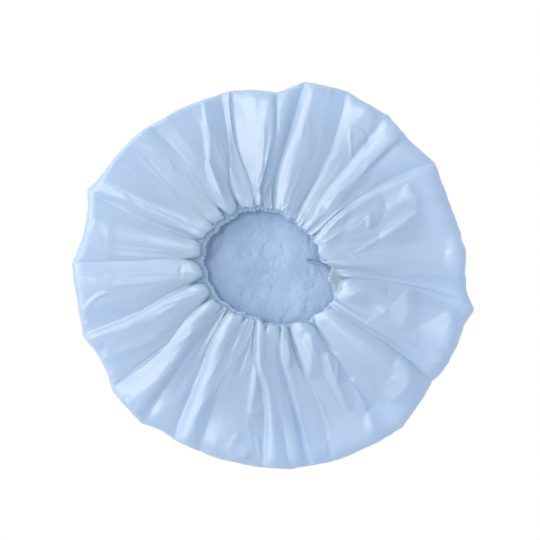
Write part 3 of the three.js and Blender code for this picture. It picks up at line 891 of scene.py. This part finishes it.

# The loose end's section, likewise: two cords side by side. It is painted darker than the rest of the
# elastic, as painted shade, most of all between the cords and at the sides.
TAIL_SECTION = (
    (-1, -0.3), (-0.8, 1), (-0.35, 0.8), (0, -0.6), (0.35, 0.8), (0.8, 1), (1, -0.3), (0.9, -1),
    (-0.9, -1),
)
TAIL_PAINTED_SHADE = (1, 0.8, 0.6, 1, 0.9, 0.8, 1, 1, 1)


def band_crinkle(azimuth, phase):
    """The small puckers of the gathered elastic."""
    turn = np.radians(azimuth)
    swell = BAND_CRINKLE_MEAN + waves(turn, BAND_PUCKER_SWELL, phase)
    return BAND_CRINKLE * waves(turn, BAND_PUCKERS, phase) * swell


def band_rows(count):
    """The elastic's loop, as a row of points for each corner of its section."""
    band = BandPath(Across(*even_columns(count)))
    rows = []
    for side, level in BAND_SECTION:
        pucker = band_crinkle(band.azimuth, BAND_PHASE * side)
        across = side * BAND_WIDTH / 2 + pucker * BAND_BULGE * side
        rows.append(band.at(across[:, None], level * BAND_THICKNESS / 2 + pucker))
    return np.stack(rows)


def tail_rows(count):
    """The elastic's loose end, likewise, lying into the opening."""
    middle = curve_through(np.array(TAIL_PATH), np.linspace(0, 1, count)[:, None])
    along = np.gradient(middle, axis=0)
    along /= np.linalg.norm(along, axis=1, keepdims=True)
    side = np.cross(along, [0.0, 0.0, 1.0])
    side /= np.linalg.norm(side, axis=1, keepdims=True)
    up = np.cross(side, along)
    lean = np.radians(TAIL_LEAN + TAIL_TWIST * np.linspace(0, 1, count))[:, None]
    wide, thick = side * np.cos(lean) + up * np.sin(lean), up * np.cos(lean) - side * np.sin(lean)
    waver = TAIL_WAVER * np.sin(np.linspace(0, TAIL_WAVER_TURN, count))
    width = TAIL_WIDTH * (1 + waver)[:, None]
    return np.stack([
        middle + wide * across * width / 2 + thick * level * TAIL_THICKNESS / 2
        for across, level in TAIL_SECTION
    ])


def tail_faces(sides, count, first):
    """Quads along the loose end, whose points start at first, and a polygon at each end of it."""
    i = np.arange(sides)[:, None] * count + first
    j = np.arange(count - 1)
    below = np.roll(i, -1, axis=0)
    quads = np.stack([i + j, below + j, below + j + 1, i + j + 1], axis=-1).reshape(-1, 4)
    return [quads, np.stack([i[:, 0], i[::-1, 0] + count - 1])]


def band_piece(material):
    band = band_rows(BAND_COLUMNS).reshape(-1, 3)
    tail = tail_rows(TAIL_COLUMNS).reshape(-1, 3)
    band_faces = ring_faces(len(BAND_SECTION) + 1, BAND_COLUMNS) % len(band)
    faces = [band_faces, *tail_faces(len(TAIL_SECTION), TAIL_COLUMNS, len(band))]
    piece = make_piece("elastic", to_row(np.concatenate([band, tail])), faces, material)
    # Painted shade along the loose end, none on the loop.
    shade = np.repeat(TAIL_PAINTED_SHADE, TAIL_COLUMNS)
    add_attribute(piece, "loose", np.concatenate([np.zeros(len(band)), shade]))
    return piece


# ---- the pad


def beyond_ledge(points):
    """1 beyond the pad's ledge, where the film shows through it."""
    x, y = points[..., 0], points[..., 1]
    ledge = x - np.interp(y, PAD_LEDGE["y"], PAD_LEDGE["x"])
    return smooth(0.5 - ledge / PAD_LEDGE_WIDTH) * smooth((y - PAD_LEDGE_FROM) / PAD_LEDGE_FADE)


def pad_top(points):
    """Height of the pad's upper side at points in the plane."""
    x, y = points[..., 0], points[..., 1]
    radius = np.hypot(x, y)
    swell = 1 - smooth((radius - PAD_SWELL_FROM) / (PAD_SWELL_TO - PAD_SWELL_FROM))
    level = PAD_LOW + PAD_THICKNESS + PAD_SWELL * swell
    level -= PAD_LEDGE_DROP * beyond_ledge(points)
    warp = lattice_noise(points, *PAD_WARP)
    shifted = np.stack([x + warp, y * PAD_STRETCH - warp], -1)
    creases = PAD_CREASE_HEIGHT * np.abs(lattice_noise(shifted, *PAD_CREASES)) ** PAD_CREASE_POWER
    tufts = PAD_TUFT_HEIGHT * (lattice_noise(shifted, *PAD_TUFTS) + lattice_noise(points, *PAD_FUZZ))
    inside = 1 - smooth((radius - PAD_RELIEF_TO) / PAD_RELIEF_FADE)
    rolls = through(PAD_ROLLS["x"], PAD_ROLLS["height"], x + PAD_ROLL_SLANT * y + warp)
    return level + inside * (rolls + lattice_noise(points, *PAD_HUMPS) + creases + tufts)


def pad_piece(material):
    count = PAD_COLUMNS
    columns = Across(*even_columns(count))
    azimuth = columns.rim_azimuth()
    edge = PAD_SHARE * columns.rim_radius()
    shares = np.linspace(0, 1, PAD_OUTER_RINGS, endpoint=False)
    outer = [mix(edge, PAD_FINE_FROM, share) for share in shares]
    middle = [np.full(count, r) for r in np.linspace(PAD_FINE_FROM, PAD_FINE_TO, PAD_FINE_RINGS)]
    top = polar(np.stack(outer + middle), azimuth)
    top[..., 2] = pad_top(top)
    low = polar(PAD_UNDER_SHARES * edge, azimuth, PAD_LOW)
    grid = np.concatenate([low, top])
    points = np.concatenate([grid.reshape(-1, 3), [[0, 0, PAD_LOW], [0, 0, top[-1, :, 2].mean()]]])
    last = np.arange(count) + (len(grid) - 1) * count
    faces = [
        ring_faces(len(grid), count)[:, ::-1],
        fan_faces(len(points) - 2, np.arange(count), False),
        fan_faces(len(points) - 1, last, True),
    ]
    piece = make_piece("pad", to_row(points), faces, material)
    add_attribute(piece, "thin", beyond_ledge(points))
    return piece


# ---- materials

MIX_SHARE, MIX_A, MIX_B, MIX_RESULT = 0, 6, 7, 2  # sockets of a Mix node that mixes colours


def new_material(name):
    """A material, its node tree and its shader."""
    material = bpy.data.materials.new(name)
    material.use_nodes = True
    tree = material.node_tree
    return material, tree, tree.nodes["Principled BSDF"]


def share_of(tree, name):
    """The value of a mesh attribute."""
    attribute = tree.nodes.new("ShaderNodeAttribute")
    attribute.attribute_name = name
    return attribute.outputs["Fac"]


def blend(tree, share, none, all_of_it):
    """A colour between those for a share of 0 and of 1, each of them a colour or a socket."""
    node = tree.nodes.new("ShaderNodeMix")
    node.data_type = "RGBA"
    tree.links.new(share, node.inputs[MIX_SHARE])
    for socket, colour in ((node.inputs[MIX_A], none), (node.inputs[MIX_B], all_of_it)):
        if isinstance(colour, tuple):
            socket.default_value = colour
        else:
            tree.links.new(colour, socket)
    return node.outputs[MIX_RESULT]


def film_material():
    material, tree, shader = new_material("film")
    # Painted light near the elastic, then painted shade in the notches and at the bottom of the deep
    # creases.
    film = blend(tree, share_of(tree, "painted_light"), FILM_COLOUR, PAINTED_LIGHT_COLOUR)
    colour = blend(tree, share_of(tree, "notch"), film, NOTCH_SHADE_COLOUR)
    shader.inputs["Roughness"].default_value = 0.36
    shader.inputs["IOR"].default_value = 1.5
    shader.inputs["Specular IOR Level"].default_value = 1.6
    translucent = tree.nodes.new("ShaderNodeBsdfTranslucent")
    both = tree.nodes.new("ShaderNodeMixShader")
    both.inputs["Fac"].default_value = FILM_TRANSLUCENCE
    tree.links.new(colour, shader.inputs["Base Color"])
    tree.links.new(colour, translucent.inputs["Color"])
    tree.links.new(shader.outputs[0], both.inputs[1])
    tree.links.new(translucent.outputs[0], both.inputs[2])
    tree.links.new(both.outputs[0], tree.nodes["Material Output"].inputs["Surface"])
    return material


def noise(tree, scale, detail):
    """A noise texture fixed to the object, with features about 1 / scale metres across."""
    place = tree.nodes.new("ShaderNodeTexCoord")
    texture = tree.nodes.new("ShaderNodeTexNoise")
    texture.inputs["Scale"].default_value = scale
    texture.inputs["Detail"].default_value = detail
    tree.links.new(place.outputs["Object"], texture.inputs["Vector"])
    return texture.outputs["Fac"]


def add_bump(tree, shader, height, strength, distance):
    bump = tree.nodes.new("ShaderNodeBump")
    bump.inputs["Strength"].default_value = strength
    bump.inputs["Distance"].default_value = distance
    tree.links.new(height, bump.inputs["Height"])
    tree.links.new(bump.outputs["Normal"], shader.inputs["Normal"])


def elastic_material():
    material, tree, shader = new_material("elastic")
    # Painted shade on the loose end.
    colour = blend(tree, share_of(tree, "loose"), ELASTIC_COLOUR, LOOSE_END_SHADE_COLOUR)
    tree.links.new(colour, shader.inputs["Base Color"])
    shader.inputs["Roughness"].default_value = 0.6
    add_bump(tree, shader, noise(tree, scale=1500, detail=2), strength=0.4, distance=0.0003)
    return material


def nonwoven_material():
    material, tree, shader = new_material("nonwoven")
    mottle = blend(tree, noise(tree, scale=45, detail=3), PAD_DARK, PAD_LIGHT)
    colour = blend(tree, share_of(tree, "thin"), mottle, PAD_THIN)
    tree.links.new(colour, shader.inputs["Base Color"])
    shader.inputs["Roughness"].default_value = 0.95
    add_bump(tree, shader, noise(tree, scale=900, detail=5), strength=0.5, distance=0.001)
    return material


# ---- stage


def sun_light(name, azimuth, elevation, breadth, strength, colour):
    """A distant light, seen from the object as a disc of the given angular breadth in degrees."""
    light = bpy.data.lights.new(name, "SUN")
    light.angle, light.energy, light.color = math.radians(breadth), strength, colour
    lamp = new_object(name, light)
    turn, rise = math.radians(azimuth), math.radians(elevation)
    level = math.cos(rise)
    lamp.location = (level * math.cos(turn), level * math.sin(turn), math.sin(rise))
    lamp.rotation_euler = (-lamp.location).to_track_quat("-Z", "Y").to_euler()


def place_camera():
    """A camera that looks straight down."""
    camera_data = bpy.data.cameras.new("camera")
    camera_data.lens = FOCAL_LENGTH
    camera_data.sensor_width = SENSOR_WIDTH
    camera = new_object("camera", camera_data)
    bpy.context.scene.camera = camera
    camera.location = (VIEW_X, VIEW_Y, VIEW_LEVEL + VIEW_WIDTH * FOCAL_LENGTH / SENSOR_WIDTH)


def light_scene():
    """A pale sky, broad low light from the left, a light from high up and a cool fill."""
    world = bpy.data.worlds.new("world")
    bpy.context.scene.world = world
    world.use_nodes = True
    background = world.node_tree.nodes["Background"]
    background.inputs["Color"].default_value = SKY_COLOUR
    background.inputs["Strength"].default_value = SKY_STRENGTH
    for light in LIGHTS:
        sun_light(*light)


def lay_floor():
    """A white ground that shows no shadow."""
    far = FLOOR_HALF
    corners = [(-far, -far, 0), (far, -far, 0), (far, far, 0), (-far, far, 0)]
    mesh = bpy.data.meshes.new("floor")
    mesh.from_pydata(corners, [], [range(4)])
    floor = new_object("floor", mesh)
    material, _, shader = new_material("floor")
    shader.inputs["Base Color"].default_value = (0.0, 0.0, 0.0, 1)
    shader.inputs["Roughness"].default_value = 1.0
    shader.inputs["Specular IOR Level"].default_value = 0.0
    shader.inputs["Emission Color"].default_value = (1, 1, 1, 1)
    shader.inputs["Emission Strength"].default_value = 1.0
    floor.data.materials.append(material)
    floor.location.z = FLOOR_LEVEL


# ---- assembly
bpy.context.scene.view_settings.view_transform = "Standard"
place_camera()
light_scene()
lay_floor()

film = film_piece(film_material())
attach(film, "root")
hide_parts("film_cap")

elastic = band_piece(elastic_material())
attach(elastic, "root")
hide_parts("elastic_band")

pad = pad_piece(nonwoven_material())
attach(pad, "root")
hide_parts("absorbent_pad")
